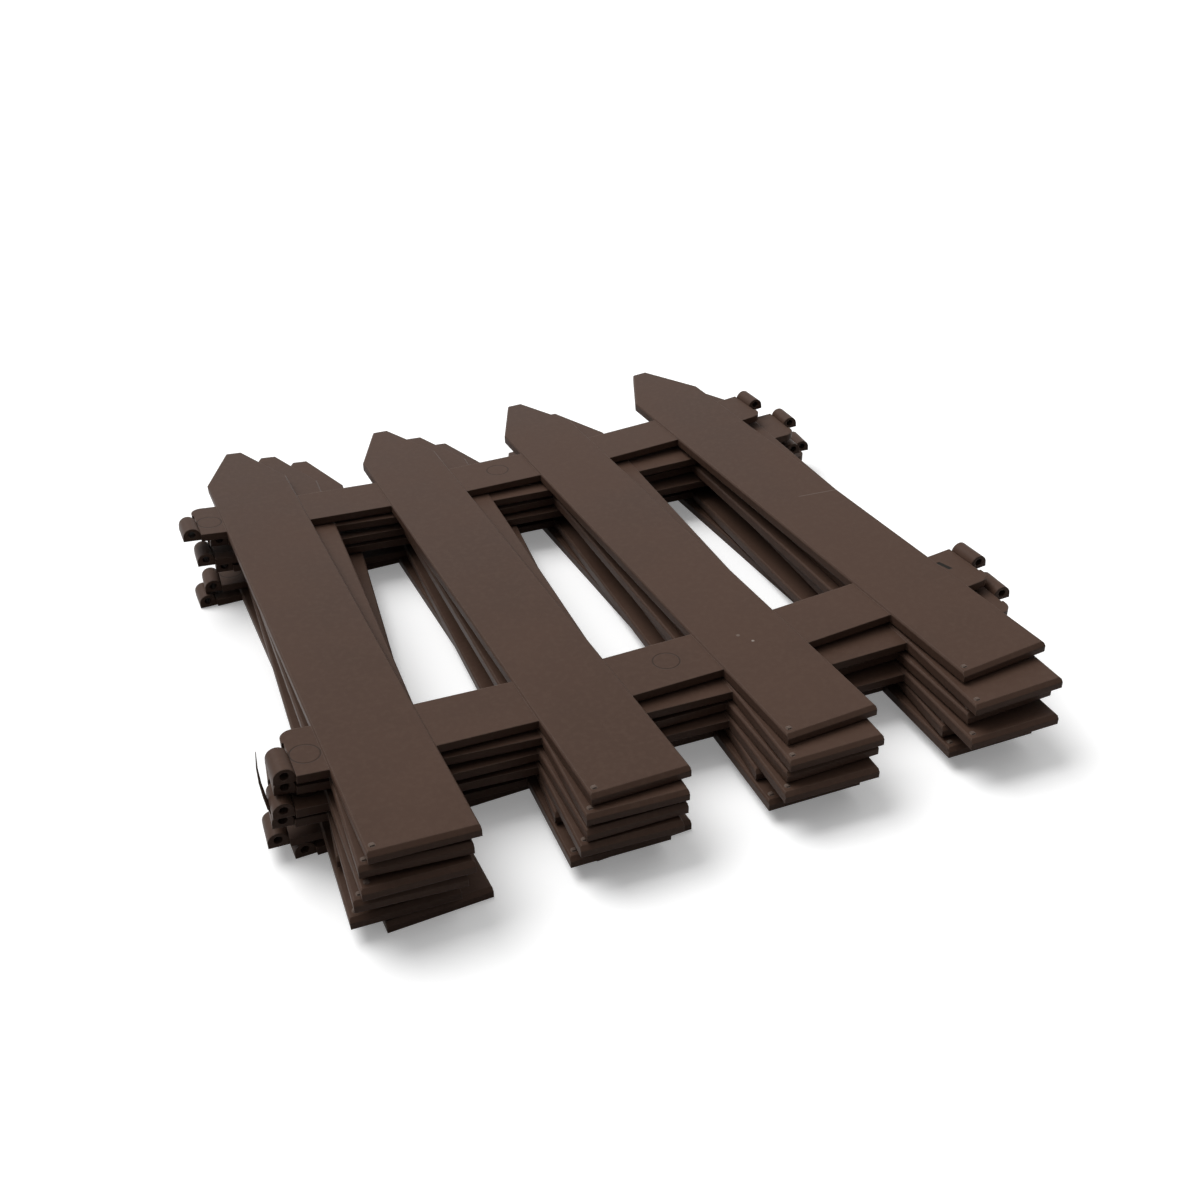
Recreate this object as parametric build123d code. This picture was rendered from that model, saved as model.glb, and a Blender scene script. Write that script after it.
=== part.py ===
from build123d import *
import math
import os

# A loose stack of seven equal garden-fence sections, lying face up on the floor.
# Millimetres. X runs along the rails, Y up the pickets towards the points, Z up.

# One section, seen on its face
PICKETS = 4
PICKET_PITCH = 75.0
PICKET_WIDTH = 37.0
SHOULDER_HEIGHT = 277.0
TIP_HEIGHT = 310.5
TIP_FLAT = 7.5
RAIL_WIDTH = 26.5
LOWER_RAIL = 46.0
UPPER_RAIL = 228.0

# One section, seen on its edge: a thin face with a rim turned back all round
DEPTH = 4.0
PICKET_PROUD = 0.7
FACE = 1.5
RIM = 1.8
FOOT_BREAK = 1.5
EDGE_BREAK = 0.6

# A small moulding nib at the left foot corner of every picket
NIB_SIZE = 1.4
NIB_HEIGHT = 0.4
NIB_FROM_SIDE = 2.6
NIB_FROM_FOOT = 4.0

# Hinge knuckles, one at each rail end, on two pin lines
PIN_LINE = 146.0
KNUCKLE_WIDTH = 7.5
KNUCKLE_HEIGHT = 5.8
KNUCKLE_LENGTH = 13.0
KNUCKLE_SETBACK = 1.5
PIN_HOLE = 3.2
TAB_CORNER = 5.0
TAB_WALL = 3.0
TAB_LAP = 0.5

# The stack: the knuckles hold the ends further apart than the middles,
# so each section is bowed a little more than the one under it.
END_STEP = 5.9
MIDDLE_STEP = 4.65

# How each section lies, from the floor up: shift along X, shift along Y,
# turn about Z in degrees at the turn centre, and lift off the regular step where it rests
TURN_CENTRE = 135.0
LAY = {
    7: (2.2, 5.4, 0.5, 0.0),
    6: (-0.5, -2.3, -3.2, 0.15),
    5: (11.3, 10.1, -7.6, 0.2),
    4: (3.4, -10.3, -4.4, 0.05),
    3: (0.5, -6.6, -1.9, 0.3),
    2: (5.0, -7.1, -3.6, 0.6),
    1: (0.0, 0.0, 0.0, 0.15),
}

PICKET_CENTRES = [(i - (PICKETS - 1) / 2) * PICKET_PITCH for i in range(PICKETS)]
TAB_END = PIN_LINE - KNUCKLE_WIDTH / 2 + TAB_LAP


def picket(x, inset):
    """The outline of one picket, drawn in by a constant inset."""
    half = PICKET_WIDTH / 2 - inset
    tip = TIP_FLAT / 2
    slope = math.atan2(TIP_HEIGHT - SHOULDER_HEIGHT, PICKET_WIDTH / 2 - tip)
    shoulder = SHOULDER_HEIGHT - inset * math.tan((math.pi / 2 - slope) / 2)
    top = TIP_HEIGHT - inset
    top_half = tip - inset * math.tan(slope / 2)
    points = [(x - half, inset), (x + half, inset), (x + half, shoulder), (x + top_half, top)]
    points += [(x - top_half, top), (x - half, shoulder)]
    return make_face(Polyline(*points, close=True))


def rail_outline(low):
    """A rail with its tabs, which are rounded at the corners that carry no knuckle."""
    shape = Rectangle(2 * TAB_END, RAIL_WIDTH)
    free = [corner for corner in shape.vertices() if corner.X * corner.Y < 0]
    shape = fillet(free, TAB_CORNER)
    return Pos(0, low + RAIL_WIDTH / 2) * shape


def rail_hollow(low):
    shape = Rectangle(2 * (TAB_END - TAB_WALL), RAIL_WIDTH - 2 * RIM)
    return Pos(0, low + RAIL_WIDTH / 2) * shape


def bow(x, rise):
    """Height of the back over its middle, which reaches the rise at the pin lines."""
    return rise * (x / PIN_LINE) ** 2


def layer(flat, low, high, rise):
    """The outline as a plate between two heights over the back, creased at the picket edges."""
    creases = [x + side * PICKET_WIDTH / 2 for x in PICKET_CENTRES for side in (-1, 1)]
    end = PIN_LINE + KNUCKLE_WIDTH
    across = [-end] + creases + [end]
    points = [(x, bow(x, rise) + low) for x in across]
    points += [(x, bow(x, rise) + high) for x in reversed(across)]
    sheet = extrude(Plane.XZ * make_face(Polyline(*points, close=True)), 2 * TIP_HEIGHT, both=True)
    return (Pos(0, 0, -DEPTH) * extrude(flat, 6 * DEPTH)) & sheet


def slat(x, rise):
    """One picket with its face edges broken, and its foot edge most of all."""
    shape = layer(picket(x, 0), 0, DEPTH, rise).solids()[0]
    face = max(shape.faces(), key=lambda item: item.center().Z * item.area)
    foot = min(face.edges(), key=lambda item: item.center().Y)
    others = [edge for edge in face.edges() if edge.center().Y > foot.center().Y + 1]
    shape = chamfer(others, EDGE_BREAK).solids()[0]
    foot_edges = [edge for edge in shape.edges() if abs(edge.center().Y) < 0.01]
    foot_edges = [edge for edge in foot_edges if edge.length > PICKET_WIDTH / 2]
    shape = chamfer(max(foot_edges, key=lambda item: item.center().Z), FOOT_BREAK)
    left = x - PICKET_WIDTH / 2 + NIB_FROM_SIDE
    middle = DEPTH + bow(left, rise)
    return shape + Pos(left, NIB_FROM_FOOT, middle) * Box(NIB_SIZE, NIB_SIZE, 2 * NIB_HEIGHT)


def knuckle_places(rise):
    """Two low ones on the left and two high ones on the right, tilted as their tabs are."""
    edge = PICKET_CENTRES[-1] + PICKET_WIDTH / 2
    end = PIN_LINE + KNUCKLE_WIDTH
    slope = (bow(end, rise) - bow(edge, rise)) / (end - edge)
    height = bow(edge, rise) + slope * (PIN_LINE - edge)
    tilt = math.degrees(math.atan(slope))
    places = []
    for rail_low in (LOWER_RAIL, UPPER_RAIL):
        high = rail_low + RAIL_WIDTH - KNUCKLE_SETBACK - KNUCKLE_LENGTH
        for side, low in ((-1, rail_low + KNUCKLE_SETBACK), (1, high)):
            places.append(Pos(side * PIN_LINE, low + KNUCKLE_LENGTH / 2, height) * Rot(0, -side * tilt, 0))
    return places


def knuckle():
    """A block with a round top, flat sides and a pin hole, standing on its base."""
    arch = KNUCKLE_HEIGHT - KNUCKLE_WIDTH / 2
    sides = Pos(0, arch / 2) * Rectangle(KNUCKLE_WIDTH, arch)
    dome = Pos(0, arch) * Circle(KNUCKLE_WIDTH / 2)
    below = Pos(0, -KNUCKLE_WIDTH) * Rectangle(2 * KNUCKLE_WIDTH, 2 * KNUCKLE_WIDTH)
    shape = sides + dome - below - Pos(0, KNUCKLE_HEIGHT / 2) * Circle(PIN_HOLE / 2)
    return extrude(Plane.XZ * shape, KNUCKLE_LENGTH / 2, both=True)


def section(rise):
    """A panel of pickets and rails, and its four knuckles, which meet it on flat faces."""
    body = layer(rail_outline(LOWER_RAIL), 0, DEPTH - PICKET_PROUD, rise)
    body += layer(rail_outline(UPPER_RAIL), 0, DEPTH - PICKET_PROUD, rise)
    for x in PICKET_CENTRES:
        body += slat(x, rise)
    for x in PICKET_CENTRES:
        body -= layer(picket(x, RIM), -1, DEPTH - FACE, rise)
    for low in (LOWER_RAIL, UPPER_RAIL):
        body -= layer(rail_hollow(low), -1, DEPTH - PICKET_PROUD - FACE, rise)
    blocks = [place * knuckle() for place in knuckle_places(rise)]
    for place in knuckle_places(rise):
        body -= place * Box(KNUCKLE_WIDTH, KNUCKLE_LENGTH + 2 * TAB_CORNER, 4 * KNUCKLE_HEIGHT)
    return body, blocks


if __name__ == "__main__":
    os.makedirs("parts", exist_ok=True)
    laid = {}
    height = 0.0
    rise = 0.0
    for number, (dx, dy, turn, lift) in LAY.items():
        height += lift
        place = Pos(dx, dy + TURN_CENTRE, height) * Rot(0, 0, turn) * Pos(0, -TURN_CENTRE, 0)
        body, blocks = section(rise)
        laid[f"section_{number}"] = [place * body.solids()[0]]
        laid[f"knuckles_{number}"] = [place * block.solids()[0] for block in blocks]
        print(number, "height", round(height, 3), "rise", round(rise, 3), "solids", len(body.solids()))
        height += MIDDLE_STEP
        rise += END_STEP - MIDDLE_STEP
    boxes = [solid.bounding_box() for solids in laid.values() for solid in solids]
    low = [min(tuple(box.min)[i] for box in boxes) for i in range(3)]
    high = [max(tuple(box.max)[i] for box in boxes) for i in range(3)]
    to_origin = Pos(-(low[0] + high[0]) / 2, -(low[1] + high[1]) / 2, -low[2])
    print("size", [round(high[i] - low[i], 2) for i in range(3)])
    print("moved", [round(v, 4) for v in tuple(to_origin.position)])
    for name, solids in laid.items():
        solids = [to_origin * solid for solid in solids]
        shape = solids[0] if len(solids) == 1 else Compound(solids)
        print(name, round(sum(solid.volume for solid in solids)), shape.is_valid)
        export_step(shape, f"parts/{name}.step")
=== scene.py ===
# %% [markdown]
# # A stack of picket fence sections
# Seven equal sections of moulded plastic picket fencing lie on each other, face up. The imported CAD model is
# the fixed frame of this lesson: a panel and a set of hinge knuckles for each section. The shapes are all
# there, so the lesson dresses them. It gives the plastic its skin, draws the fine marks of the mould, adds
# two threads of flash, and sets a plain stage, a light and a camera.

# %% Load the frame
import math

import bmesh
import bpy
from mathutils import Matrix, Vector


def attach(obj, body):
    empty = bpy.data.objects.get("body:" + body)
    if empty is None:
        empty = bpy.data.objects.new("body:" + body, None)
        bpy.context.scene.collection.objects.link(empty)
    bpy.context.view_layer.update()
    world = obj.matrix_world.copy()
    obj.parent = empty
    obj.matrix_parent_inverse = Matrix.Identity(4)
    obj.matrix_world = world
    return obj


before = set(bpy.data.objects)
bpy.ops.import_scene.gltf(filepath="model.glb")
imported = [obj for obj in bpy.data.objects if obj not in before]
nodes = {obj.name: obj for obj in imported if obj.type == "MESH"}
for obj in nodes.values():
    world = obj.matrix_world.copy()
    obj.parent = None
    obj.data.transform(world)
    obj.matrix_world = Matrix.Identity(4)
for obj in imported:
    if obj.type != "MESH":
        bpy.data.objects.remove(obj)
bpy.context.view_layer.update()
MM = 0.001

# %% [markdown]
# ## How the sections lie
# The mould leaves its marks at the same place on every section, but no two sections lie alike. Marks drawn
# once over the whole stack would miss every section but one. So this table repeats how each section lies:
# its shift along X and Y in millimetres, and its turn about Z in degrees. The top section lies straight, so
# the middle of its box and its feet show where the sections' common zero point is.

# %% The lay of each section
LAY = {
    1: (0.0, 0.0, 0.0),
    2: (5.0, -7.1, -3.6),
    3: (0.5, -6.6, -1.9),
    4: (3.4, -10.3, -4.4),
    5: (11.3, 10.1, -7.6),
    6: (-0.5, -2.3, -3.2),
    7: (2.2, 5.4, 0.5),
}
TURN_CENTRE = 135.0
top_points = [vertex.co / MM for vertex in nodes["section_1"].data.vertices]
zero_x = (min(point.x for point in top_points) + max(point.x for point in top_points)) / 2
zero_y = min(point.y for point in top_points)


def into_section(number):
    """The turn and the move, in radians and metres, from the stack's frame into one section's own."""
    dx, dy, turn = LAY[number]
    turned_back = Matrix.Rotation(math.radians(-turn), 3, "Z")
    centre = Vector((dx + zero_x, dy + zero_y + TURN_CENTRE, 0))
    return math.radians(-turn), (Vector((0, TURN_CENTRE, 0)) - turned_back @ centre) * MM


print("zero point mm", round(zero_x, 3), round(zero_y, 3))

# %% [markdown]
# ## Small helpers for shader nodes
# A finish is a net of many small nodes. Setting up each by hand takes five lines, and the recipe is lost
# among them. Each helper here adds one node, sets its values and links what flows into it, so that
# a recipe reads like a sum.


# %% Helpers that add nodes
def add(tree, kind, **settings):
    """A new node, with its properties set by name."""
    node = tree.nodes.new(kind)
    for name, value in settings.items():
        setattr(node, name, value)
    return node


def feed(tree, socket, value):
    """Link a socket into another, or set a plain value."""
    if hasattr(value, "is_output"):
        tree.links.new(value, socket)
    else:
        socket.default_value = value


def maths(tree, operation, *values):
    """One sum with up to three values."""
    node = add(tree, "ShaderNodeMath", operation=operation)
    for socket, value in zip(node.inputs, values):
        feed(tree, socket, value)
    return node.outputs[0]


def noise(tree, vector, scale, detail, roughness):
    """A noise texture read at the given position."""
    node = add(tree, "ShaderNodeTexNoise")
    for name, value in (("Scale", scale), ("Detail", detail), ("Roughness", roughness), ("Vector", vector)):
        feed(tree, node.inputs[name], value)
    return node.outputs["Fac"]


print("helpers for single nodes are ready")


# %% Helpers that mix and group
def ramp(tree, value, low, high, to_low, to_high):
    """A value moved smoothly from one range to another."""
    node = add(tree, "ShaderNodeMapRange", interpolation_type="SMOOTHSTEP")
    for name, number in (("From Min", low), ("From Max", high), ("To Min", to_low), ("To Max", to_high)):
        node.inputs[name].default_value = number
    feed(tree, node.inputs["Value"], value)
    return node.outputs["Result"]


def blend(tree, factor, first, second):
    """Two colours mixed by a factor."""
    node = add(tree, "ShaderNodeMix", data_type="RGBA")
    sockets = {socket.name: socket for socket in node.inputs if socket.enabled}
    for name, value in (("Factor", factor), ("A", first), ("B", second)):
        feed(tree, sockets[name], value)
    return [socket for socket in node.outputs if socket.enabled][0]


def group(name, inputs, outputs):
    """An empty node group with its sockets. Each socket is a name and a kind."""
    tree = bpy.data.node_groups.new(name, "ShaderNodeTree")
    for way, sockets in (("INPUT", inputs), ("OUTPUT", outputs)):
        for label, kind in sockets:
            tree.interface.new_socket(label, in_out=way, socket_type="NodeSocket" + kind)
    return tree, add(tree, "NodeGroupInput"), add(tree, "NodeGroupOutput")


print("helpers for mixing and grouping are ready")

# %% [markdown]
# ## The plastic's skin
# The sections are injection moulded in dark brown plastic. Such a skin isn't one flat colour: the pigment
# clouds a little as it flows, fine specks show in it, and its satin is duller in some places than in others.
# A picture could be laid over it, but noise in the object's own coordinates has no seams and suits any
# section. All sections share the recipe, so it is a node group that puts out a colour, a roughness and
# a height.

# %% The skin as a node group
BROWN_DEEP = (0.0626, 0.0349, 0.0241, 1)
BROWN_LIGHT = (0.0715, 0.0404, 0.0284, 1)
BROWN_SPECK = (0.0834, 0.0497, 0.0355, 1)
CLOUD_SCALE, SPECK_SCALE, GRAIN_SCALE = 14.0, 420.0, 2600.0
SATIN = (0.44, 0.54)
skin, skin_in, skin_out = group(
    "moulded_skin",
    [("Position", "Vector")],
    [("Colour", "Color"), ("Roughness", "Float"), ("Height", "Float")],
)
place = skin_in.outputs["Position"]
cloud = noise(skin, place, scale=CLOUD_SCALE, detail=3.0, roughness=0.55)
fine = noise(skin, place, scale=SPECK_SCALE, detail=2.0, roughness=0.6)
grain = noise(skin, place, scale=GRAIN_SCALE, detail=1.0, roughness=0.5)
clouded = blend(skin, ramp(skin, cloud, 0.35, 0.65, 0.0, 1.0), BROWN_DEEP, BROWN_LIGHT)
specked = blend(skin, ramp(skin, fine, 0.4, 0.75, 0.0, 0.4), clouded, BROWN_SPECK)
feed(skin, skin_out.inputs["Colour"], specked)
feed(skin, skin_out.inputs["Roughness"], ramp(skin, cloud, 0.3, 0.7, *SATIN))
feed(skin, skin_out.inputs["Height"], grain)
print("skin nodes", len(skin.nodes))

# %% [markdown]
# ## Rounded edges and a painted highlight
# A moulded edge is never sharp. The CAD edges are crisp, so their softness is added in shading. A Bevel
# modifier would change the mesh, so the Bevel node is used: it only turns the normal near an edge. Where
# that normal leaves the true one there is an edge, and the same difference makes the mask for a painted
# highlight: a paler colour along every edge that stands in for the light the rounding catches.

# %% The rounded edges and their painted highlight as a node group
FULL_EDGE_BELOW, FLAT_FACE_ABOVE = 0.70, 0.985
rounded, rounded_in, rounded_out = group(
    "rounded_edges_painted_highlight",
    [("Radius", "Float"), ("Amount", "Float")],
    [("Highlight", "Float"), ("Normal", "Vector")],
)
soft = add(rounded, "ShaderNodeBevel", samples=4)
feed(rounded, soft.inputs["Radius"], rounded_in.outputs["Radius"])
agreement = add(rounded, "ShaderNodeVectorMath", operation="DOT_PRODUCT")
feed(rounded, agreement.inputs[0], soft.outputs["Normal"])
feed(rounded, agreement.inputs[1], add(rounded, "ShaderNodeNewGeometry").outputs["True Normal"])
# The mask is 1 on an edge and 0 on a flat face. It places the painted highlight.
on_edge = ramp(rounded, agreement.outputs["Value"], FULL_EDGE_BELOW, FLAT_FACE_ABOVE, 1.0, 0.0)
feed(rounded, rounded_out.inputs["Highlight"], maths(rounded, "MULTIPLY", on_edge, rounded_in.outputs["Amount"]))
feed(rounded, rounded_out.inputs["Normal"], soft.outputs["Normal"])
print("rubbed edge nodes", len(rounded.nodes))

# %% [markdown]
# ## The marks of the mould
# Ejector pins leave a faint ring on the left tabs and in the middle of each rail. A gate leaves a pale dot,
# and where two streams of melt met there is a thin flow line. Right of the last picket a short slit shows;
# its dark line is painted shade, standing in for the shadow inside the shallow recess. The small nib at each
# foot gets a painted highlight, a pale dot where its bump catches the light. These are too shallow to model,
# so they are drawn from the distance to a place on the face, in millimetres in the section's own frame. Both
# rails look alike, so the upper one is folded onto the lower, and the four pickets are folded onto one.

# %% A face to draw on
RAIL_STEP = 182.0
BETWEEN_RAILS = 141.0
PICKET_PITCH = 75.0
marks, marks_in, marks_out = group(
    "mould_marks_and_painted_light",
    [("Position", "Vector")],
    [("Dark", "Float"), ("Pale", "Float"), ("Height", "Float")],
)
in_mm = add(marks, "ShaderNodeVectorMath", operation="SCALE")
feed(marks, in_mm.inputs[0], marks_in.outputs["Position"])
in_mm.inputs["Scale"].default_value = 1 / MM
split = add(marks, "ShaderNodeSeparateXYZ")
feed(marks, split.inputs[0], in_mm.outputs["Vector"])
along, up = split.outputs["X"], split.outputs["Y"]
on_upper_rail = maths(marks, "GREATER_THAN", up, BETWEEN_RAILS)
rail_up = maths(marks, "SUBTRACT", up, maths(marks, "MULTIPLY", on_upper_rail, RAIL_STEP))
picket_along = maths(marks, "WRAP", along, PICKET_PITCH, 0.0)
print("rails folded by", RAIL_STEP, "mm and pickets by", PICKET_PITCH, "mm")

# %% Dots, rings and lines
RING_LINE = (0.12, 0.42)


def distance(across, height, spot):
    """How far a point of the face is from a spot."""
    sideways = maths(marks, "SUBTRACT", across, spot[0])
    rise = maths(marks, "SUBTRACT", height, spot[1])
    squares = [maths(marks, "POWER", way, 2.0) for way in (sideways, rise)]
    return maths(marks, "SQRT", maths(marks, "ADD", *squares))


def dot(across, height, spot, core, edge, strength):
    """A round dot that fades out between its core and its edge."""
    return ramp(marks, distance(across, height, spot), core, edge, strength, 0.0)


def ring(spot, radius):
    """A thin ring, the same on both rails."""
    off = maths(marks, "SUBTRACT", distance(along, rail_up, spot), radius)
    return ramp(marks, maths(marks, "ABSOLUTE", off), *RING_LINE, 1.0, 0.0)


def stripe(across, height, spot, half_long, half_wide, lean):
    """A short line whose long way leans out of the height direction by the given slope."""
    rise = maths(marks, "SUBTRACT", height, spot[1])
    sideways = maths(marks, "SUBTRACT", across, spot[0])
    shift = maths(marks, "SUBTRACT", sideways, maths(marks, "MULTIPLY", rise, lean))
    wide = ramp(marks, maths(marks, "ABSOLUTE", shift), 0.6 * half_wide, half_wide, 1.0, 0.0)
    long = ramp(marks, maths(marks, "ABSOLUTE", rise), 0.8 * half_long, half_long, 1.0, 0.0)
    return maths(marks, "MULTIPLY", wide, long)


print("dots, rings and lines are ready")

# %% The marks as a node group
RING_RADIUS = 5.2
TAB_RING, RAIL_RING = (-136.6, 57.2), (2.2, 60.5)
SLIT, FLOW_LINE = (132.6, 63.4), (121.9, 142.3)
GATE, FAINT_DOT, NIB = (37.6, 56.3), (34.4, 62.3), (21.6, 4.0)
rings = maths(marks, "MAXIMUM", ring(TAB_RING, RING_RADIUS), ring(RAIL_RING, RING_RADIUS))
# The slit's dark line is painted shade inside its shallow recess. It is also a small dent in height.
slit_shade = stripe(along, up, SLIT, half_long=3.8, half_wide=1.1, lean=-0.24)
gate = dot(along, up, GATE, core=0.3, edge=0.8, strength=1.0)
faint_dot = dot(along, up, FAINT_DOT, core=0.4, edge=1.0, strength=0.35)
# The nib's pale dot is a painted highlight, where its small bump catches the light.
nib_highlight = dot(picket_along, up, NIB, core=0.9, edge=1.4, strength=0.22)
flow_line = stripe(up, along, FLOW_LINE[::-1], half_long=9.8, half_wide=0.4, lean=-0.235)
pale = maths(marks, "MULTIPLY", flow_line, 0.2)
# Pale holds the flow line, the gate and the faint dot, which are real marks, and the nibs' painted highlight.
for spot in (gate, faint_dot, nib_highlight):
    pale = maths(marks, "MAXIMUM", pale, spot)
# Dark holds the ejector rings, which are real marks, and the slit's painted shade.
dark = maths(marks, "MAXIMUM", maths(marks, "MULTIPLY", rings, 0.55), slit_shade)
feed(marks, marks_out.inputs["Dark"], dark)
feed(marks, marks_out.inputs["Pale"], pale)
feed(marks, marks_out.inputs["Height"], maths(marks, "SUBTRACT", gate, dark))
print("mark nodes", len(marks.nodes))

# %% [markdown]
# ## The material
# The three groups meet in one satin plastic. The knuckles carry no marks and share one material. Each panel
# gets a copy with a Mapping node set to its lay, which brings the stack's coordinates into the section's own.
# One material for all could look up the section by an attribute, but seven short copies are easier to follow.

# %% The plastic material
# Painted highlight: the pale colour mixed in along every edge, standing in for the light caught there.
HIGHLIGHT_COLOUR = (0.200, 0.155, 0.130, 1)
# Dark for the ejector rings, and painted shade for the slit.
DARK_MARK_AND_SHADE = (0.008, 0.006, 0.004, 1)
# Pale for the gate, the faint dot and the flow line, and a painted highlight for the nibs.
PALE_MARK_AND_HIGHLIGHT = (0.270, 0.230, 0.200, 1)
EDGE_RADIUS = 0.6
# How strongly the painted edge highlight is mixed in.
HIGHLIGHT_AMOUNT = 0.48
GRAIN_SHARE = 0.05
BUMP_STRENGTH, BUMP_DEPTH = 0.6, 0.2
SHEEN = 0.09


def draw_marks(tree, section, where, colour, height):
    """The mould's marks, painted shade and painted highlights over a colour and a height, in one section's
    frame.
    """
    turn, move = into_section(section)
    lay = add(tree, "ShaderNodeMapping")
    lay.inputs["Rotation"].default_value = (0, 0, turn)
    lay.inputs["Location"].default_value = move
    feed(tree, lay.inputs["Vector"], where)
    drawn = add(tree, "ShaderNodeGroup", node_tree=marks)
    feed(tree, drawn.inputs["Position"], lay.outputs["Vector"])
    colour = blend(tree, drawn.outputs["Dark"], colour, DARK_MARK_AND_SHADE)
    colour = blend(tree, drawn.outputs["Pale"], colour, PALE_MARK_AND_HIGHLIGHT)
    return colour, maths(tree, "ADD", height, drawn.outputs["Height"])


def plastic(name, section=None):
    """The brown plastic with a painted edge highlight, and with the mould's marks if it is for a panel."""
    material = bpy.data.materials.new(name)
    material.use_nodes = True
    tree = material.node_tree
    shader = tree.nodes["Principled BSDF"]
    where = add(tree, "ShaderNodeTexCoord").outputs["Object"]
    surface = add(tree, "ShaderNodeGroup", node_tree=skin)
    feed(tree, surface.inputs["Position"], where)
    edges = add(tree, "ShaderNodeGroup", node_tree=rounded)
    edges.inputs["Radius"].default_value = EDGE_RADIUS * MM
    edges.inputs["Amount"].default_value = HIGHLIGHT_AMOUNT
    # Painted highlight: a paler colour along every edge, for the light its rounding catches.
    colour = blend(tree, edges.outputs["Highlight"], surface.outputs["Colour"], HIGHLIGHT_COLOUR)
    height = maths(tree, "MULTIPLY", surface.outputs["Height"], GRAIN_SHARE)
    if section:
        colour, height = draw_marks(tree, section, where, colour, height)
    bump = add(tree, "ShaderNodeBump")
    bump.inputs["Strength"].default_value = BUMP_STRENGTH
    bump.inputs["Distance"].default_value = BUMP_DEPTH * MM
    feed(tree, bump.inputs["Height"], height)
    feed(tree, bump.inputs["Normal"], edges.outputs["Normal"])
    feed(tree, shader.inputs["Base Color"], colour)
    feed(tree, shader.inputs["Roughness"], surface.outputs["Roughness"])
    feed(tree, shader.inputs["Normal"], bump.outputs["Normal"])
    shader.inputs["Specular IOR Level"].default_value = SHEEN
    return material


# The width of the painted edge highlight.
print("painted_highlight over", EDGE_RADIUS, "mm of each edge")

# %% Plastic on every node
knuckle_plastic = plastic("brown_plastic")
for name, node in nodes.items():
    kind, number = name.split("_")
    finish = plastic("brown_plastic_" + number, int(number)) if kind == "section" else knuckle_plastic
    node.data.materials.clear()
    node.data.materials.append(finish)
print("plastic on", len(nodes), "nodes")

# %% [markdown]
# ## Two threads of flash
# Melt that creeps out between the halves of a mould leaves a thin thread. Two of them stand up beside the
# lower left knuckles. A curve with a bevel would do, but it has to become a mesh in the end. So each starts
# as a small flat circle, and its last face is extruded from place to place and drawn in a little each time.

# %% The flash threads
CORNERS = 6
FLATNESS = 0.5


def thread(name, path, half_width, tip_share):
    """A thread through the given places in millimetres, tapered to a share of its width at the tip."""
    shape = bmesh.new()
    start = bmesh.ops.create_circle(shape, cap_ends=True, segments=CORNERS, radius=half_width)["verts"]
    bmesh.ops.scale(shape, verts=start, vec=(1.0, FLATNESS, 1.0))
    bmesh.ops.translate(shape, verts=start, vec=path[0])
    end = shape.faces[:][0]
    width = 1.0
    for step, (here, there) in enumerate(zip(path, path[1:]), start=1):
        grown = bmesh.ops.extrude_face_region(shape, geom=[end])["geom"]
        end = [item for item in grown if isinstance(item, bmesh.types.BMFace)][0]
        bmesh.ops.translate(shape, verts=end.verts[:], vec=Vector(there) - Vector(here))
        next_width = 1.0 - (1.0 - tip_share) * step / (len(path) - 1)
        slim = next_width / width
        about_end = Matrix.Translation(-Vector(there))
        bmesh.ops.scale(shape, verts=end.verts[:], vec=(slim, slim, 1.0), space=about_end)
        width = next_width
    bmesh.ops.scale(shape, verts=shape.verts[:], vec=(MM, MM, MM))
    bmesh.ops.recalc_face_normals(shape, faces=shape.faces[:])
    mesh = bpy.data.meshes.new(name)
    shape.to_mesh(mesh)
    shape.free()
    piece = bpy.data.objects.new(name, mesh)
    bpy.context.scene.collection.objects.link(piece)
    mesh.materials.append(knuckle_plastic)
    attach(piece, "root")
    return piece


THREADS = {
    "flash_long": [
        (-162.0, -104.0, 23.6),
        (-162.7, -102.4, 28.0),
        (-163.1, -100.2, 32.5),
        (-162.9, -97.6, 37.0),
        (-162.0, -94.6, 41.5),
    ],
    "flash_short": [(-161.6, -106.0, 23.2), (-162.3, -105.4, 25.6), (-162.9, -104.6, 28.4)],
}
for name, path in THREADS.items():
    piece = thread(name, path, half_width=0.9, tip_share=0.15)
    print(name, len(piece.data.polygons), "faces")

# %% [markdown]
# ## The stage
# A large plain floor takes the soft shadow. A white floor throws much light up into the stack, where the gaps
# are meant to go dark. The Light Path node parts the two: the floor looks white where the camera sees it, in
# a mirror too, and is dark grey to the light that bounces off it.


# %% Floor
def seen_ways(tree):
    """1 for what the camera sees, straight, in a mirror or through glass, and 0 for bounced light."""
    rays = add(tree, "ShaderNodeLightPath").outputs
    indirect = maths(tree, "MAXIMUM", rays["Is Glossy Ray"], rays["Is Transmission Ray"])
    return maths(tree, "MAXIMUM", rays["Is Camera Ray"], indirect)


FLOOR_HALF = 6.0
WHITE = (1.0, 1.0, 1.0, 1)
FLOOR_WHITE = (0.98, 0.98, 0.98, 1)
FLOOR_GREY = (0.05, 0.05, 0.05, 1)
FLOOR_GLOW = 0.22
shape = bmesh.new()
bmesh.ops.create_grid(shape, x_segments=1, y_segments=1, size=FLOOR_HALF)
sheet = bpy.data.meshes.new("floor")
shape.to_mesh(sheet)
shape.free()
floor = bpy.data.objects.new("floor", sheet)
bpy.context.scene.collection.objects.link(floor)
floor_finish = bpy.data.materials.new("floor_white")
floor_finish.use_nodes = True
tree = floor_finish.node_tree
shader = tree.nodes["Principled BSDF"]
seen = seen_ways(tree)
feed(tree, shader.inputs["Base Color"], blend(tree, seen, FLOOR_GREY, FLOOR_WHITE))
feed(tree, shader.inputs["Emission Strength"], maths(tree, "MULTIPLY", seen, FLOOR_GLOW))
shader.inputs["Emission Color"].default_value = WHITE
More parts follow.
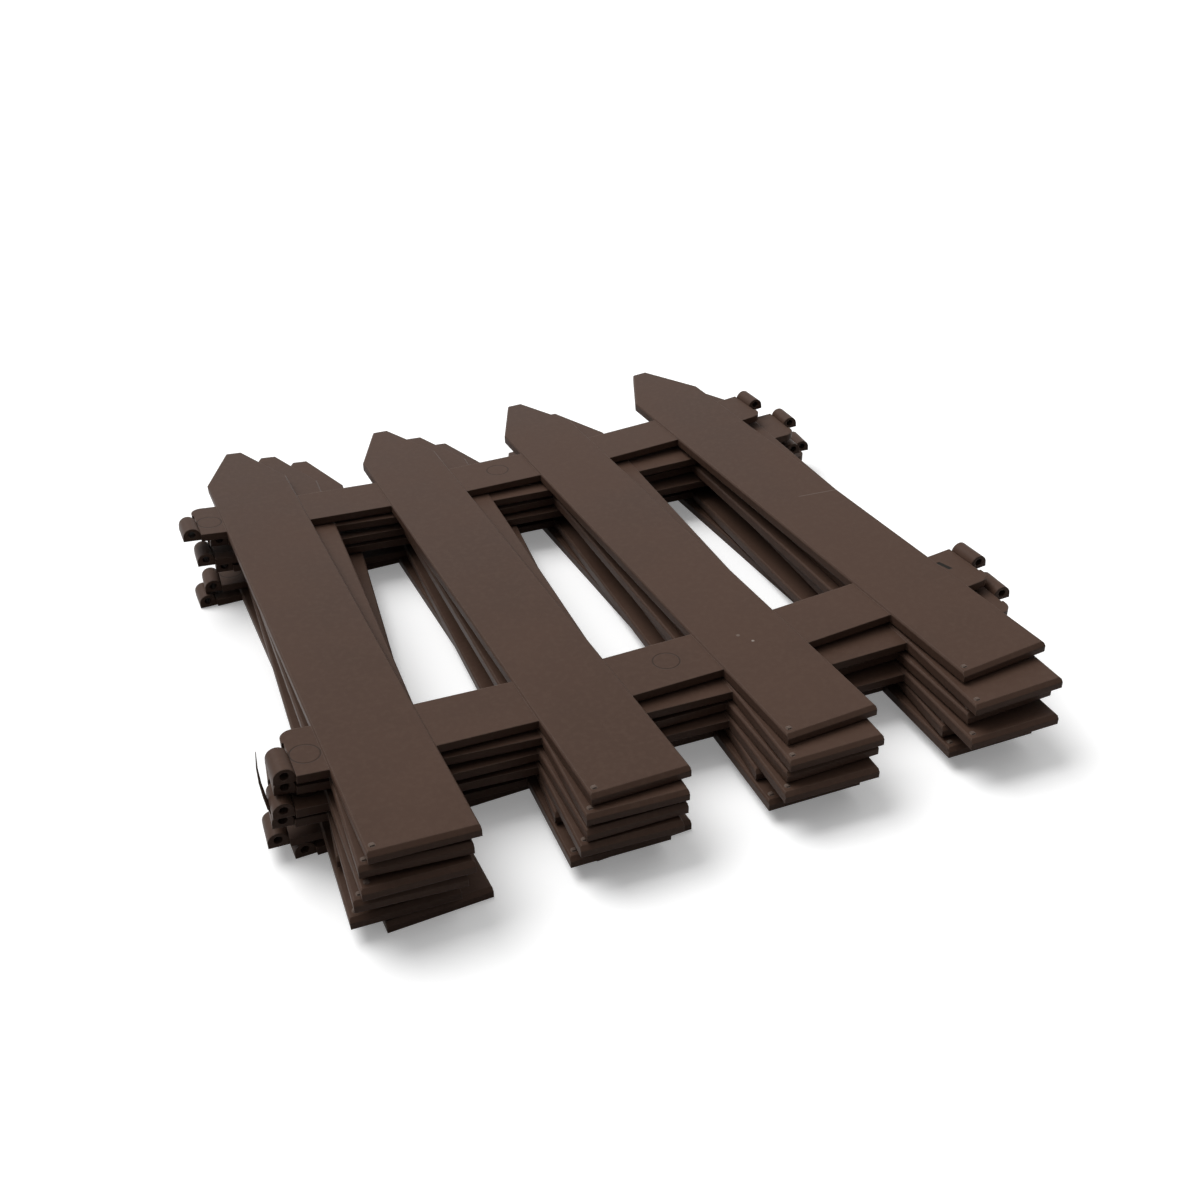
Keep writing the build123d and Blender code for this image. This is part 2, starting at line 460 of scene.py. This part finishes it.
shader.inputs["Roughness"].default_value = 0.95
shader.inputs["Specular IOR Level"].default_value = 0.0
sheet.materials.append(floor_finish)
print("floor", 2 * FLOOR_HALF, "m wide")

# %% [markdown]
# ## Light
# The light is plain, at a level where a colour renders about as it is written. The sky is bright overhead and
# behind the stack and dim in front, and one wide sun stands behind it on the left. Faces turned up are even,
# fronts go dark, and soft shadows fall to the front. Lamps near the stack could do the same, but a sky and
# a sun need no placing. The background itself shows plain white.

# %% Sky and sun
SKY_DIM = (0.023, 0.023, 0.023, 1)
SKY_BRIGHT = (0.80, 0.80, 0.80, 1)
RIGHT_SHARE = 0.15
FULL_HEIGHT = 0.75
FRONT, BACK = -0.7, 0.5
FRONT_LEVEL, BACK_LEVEL = 0.2, 1.2
SUN_STRENGTH, SUN_WIDTH = 2.06, 42
SUN_TURN = (-27, -19, 0)
world = bpy.data.worlds.new("sky")
bpy.context.scene.world = world
world.use_nodes = True
tree = world.node_tree
towards = add(tree, "ShaderNodeSeparateXYZ")
feed(tree, towards.inputs[0], add(tree, "ShaderNodeTexCoord").outputs["Generated"])
behind = maths(tree, "ADD", towards.outputs["Y"], maths(tree, "MULTIPLY", towards.outputs["X"], RIGHT_SHARE))
overhead = ramp(tree, towards.outputs["Z"], 0.0, FULL_HEIGHT, 0.0, 1.0)
level = ramp(tree, behind, FRONT, BACK, FRONT_LEVEL, BACK_LEVEL)
bright = maths(tree, "MULTIPLY", overhead, level)
sky = blend(tree, bright, SKY_DIM, SKY_BRIGHT)
feed(tree, tree.nodes["Background"].inputs["Color"], blend(tree, seen_ways(tree), sky, WHITE))
tree.nodes["Background"].inputs["Strength"].default_value = 1.0
sun = bpy.data.lights.new("sun", "SUN")
sun.energy = SUN_STRENGTH
sun.angle = math.radians(SUN_WIDTH)
sun_object = bpy.data.objects.new("sun", sun)
bpy.context.scene.collection.objects.link(sun_object)
sun_object.rotation_euler = [math.radians(angle) for angle in SUN_TURN]
print("sun strength", SUN_STRENGTH, "and width", SUN_WIDTH, "degrees")

# %% [markdown]
# ## The camera
# It looks down at about thirty degrees from the front left. The place, the turn and the lens were fitted
# together, so that the top section's corners fall where they were measured. Any one of them set by eye would
# shift the others.

# %% Camera
LENS_MM, SENSOR_MM = 38.358, 36.0
CAMERA_PLACE = (-0.19114, -0.45194, 0.31133)
CAMERA_TURN = (57.858, 1.176, -24.481)
lens = bpy.data.cameras.new("camera")
lens.sensor_width = SENSOR_MM
lens.lens = LENS_MM
camera = bpy.data.objects.new("camera", lens)
bpy.context.scene.collection.objects.link(camera)
camera.location = CAMERA_PLACE
camera.rotation_euler = [math.radians(angle) for angle in CAMERA_TURN]
bpy.context.scene.camera = camera
bpy.context.scene.view_settings.view_transform = "Standard"
print("camera", round(camera.location.length / MM), "mm from the middle of the floor under the stack")
